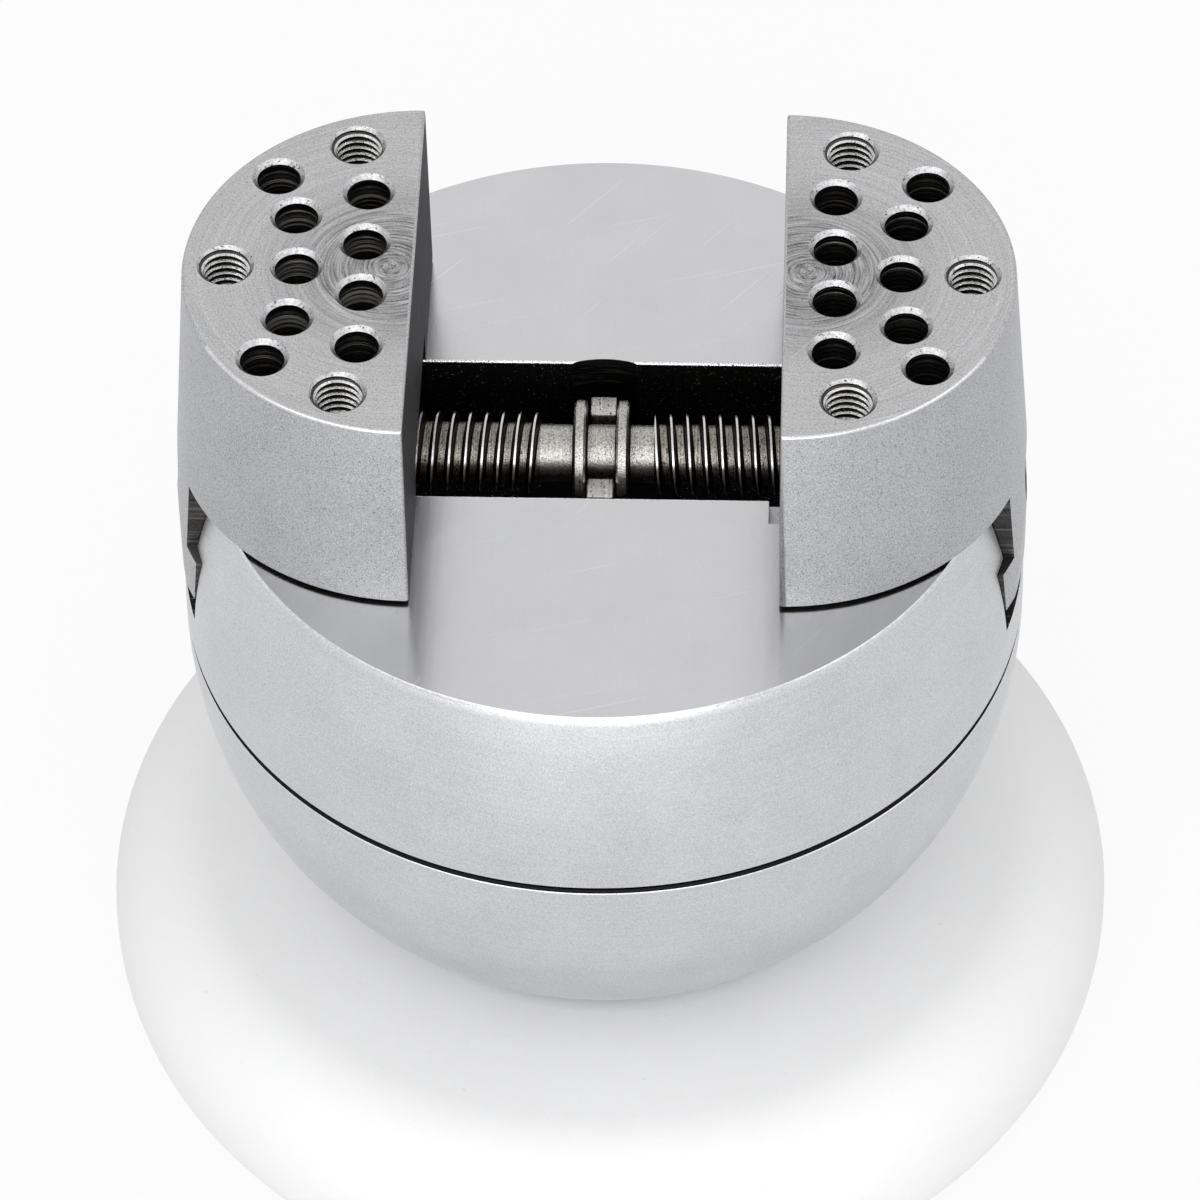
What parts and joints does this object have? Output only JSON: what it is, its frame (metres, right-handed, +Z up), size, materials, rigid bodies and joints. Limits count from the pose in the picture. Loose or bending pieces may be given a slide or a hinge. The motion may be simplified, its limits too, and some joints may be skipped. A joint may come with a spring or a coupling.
{
  "type": "ball vise",
  "caption": "Bench vise on a ball that tilts in a ring pad: a turntable with a T-slot carries half-round jaws with drilled tops on a screw with opposite-handed ends.",
  "frame": {"origin": "on the bench, under the middle of the ring pad and the ball", "axes": "+Z up, +X along the jaws' travel towards the right jaw, +Y away from the front"},
  "size_m": [0.1606, 0.1602, 0.1577],
  "materials": {
    "pad": "matt, pale",
    "ball_steel": "satin turned",
    "turntable_steel": "fine ground",
    "jaw_steel": "bead blasted, tops turned",
    "screw_steel": "polished",
    "dark_steel": "blackened",
    "bearing_steel": "polished",
    "bronze": "turned"
  },
  "bodies": {
    "root": {"base_ring": "pad"},
    "ball": {"ball_base": "ball_steel", "bottom_plug": "ball_steel", "spindle_bush": "bronze", "bearing_race_lower": "bearing_steel"},
    "cage": {"bearing_cage": "bronze", "bearing_ball_01": "bearing_steel", "bearing_ball_02": "bearing_steel", "bearing_ball_03": "bearing_steel", "bearing_ball_04": "bearing_steel", "bearing_ball_05": "bearing_steel", "bearing_ball_06": "bearing_steel", "bearing_ball_07": "bearing_steel", "bearing_ball_08": "bearing_steel", "bearing_ball_09": "bearing_steel", "bearing_ball_10": "bearing_steel", "bearing_ball_11": "bearing_steel", "bearing_ball_12": "bearing_steel"},
    "turntable": {"upper_body": "turntable_steel", "spindle": "dark_steel", "bearing_race_upper": "bearing_steel", "flange_screw_left": "dark_steel", "flange_screw_right": "dark_steel", "thrust_washer": "bronze", "disc_spring_1": "dark_steel", "disc_spring_2": "dark_steel", "lock_nut": "screw_steel"},
    "screw": {"lead_screw": "screw_steel"},
    "left": {"left_jaw": "jaw_steel"},
    "right": {"right_jaw": "jaw_steel"}
  },
  "joints": [
    {"name": "ball_tilt", "type": "hinge", "parent": "root", "child": "ball", "pos_m": [0, 0, 0.09022], "axis": [1, 0, 0], "range_deg": [-40, 40]},
    {"name": "turntable_turn", "type": "hinge", "parent": "ball", "child": "turntable", "pos_m": [0, 0, 0.09187], "axis": [0, 0, 1], "continuous": true},
    {"name": "bearing_cage_turn", "type": "hinge", "parent": "ball", "child": "cage", "pos_m": [0, 0, 0.08772], "axis": [0, 0, 1], "continuous": true},
    {"name": "lead_screw_turn", "type": "hinge", "parent": "turntable", "child": "screw", "pos_m": [0, 0, 0.11882], "axis": [1, 0, 0], "range_deg": [-866, 3933]},
    {"name": "left_jaw_slide", "type": "slide", "parent": "turntable", "child": "left", "axis": [1, 0, 0], "range_m": [-0.006, 0.0273]},
    {"name": "right_jaw_slide", "type": "slide", "parent": "turntable", "child": "right", "axis": [-1, 0, 0], "range_m": [-0.00601, 0.02731]}
  ],
  "couplings": [
    {"joint": "bearing_cage_turn", "follows": "turntable_turn", "ratio": 0.5},
    {"joint": "lead_screw_turn", "follows": "left_jaw_slide", "rad_per_m": 2513.3},
    {"joint": "right_jaw_slide", "follows": "left_jaw_slide", "ratio": 1}
  ]
}
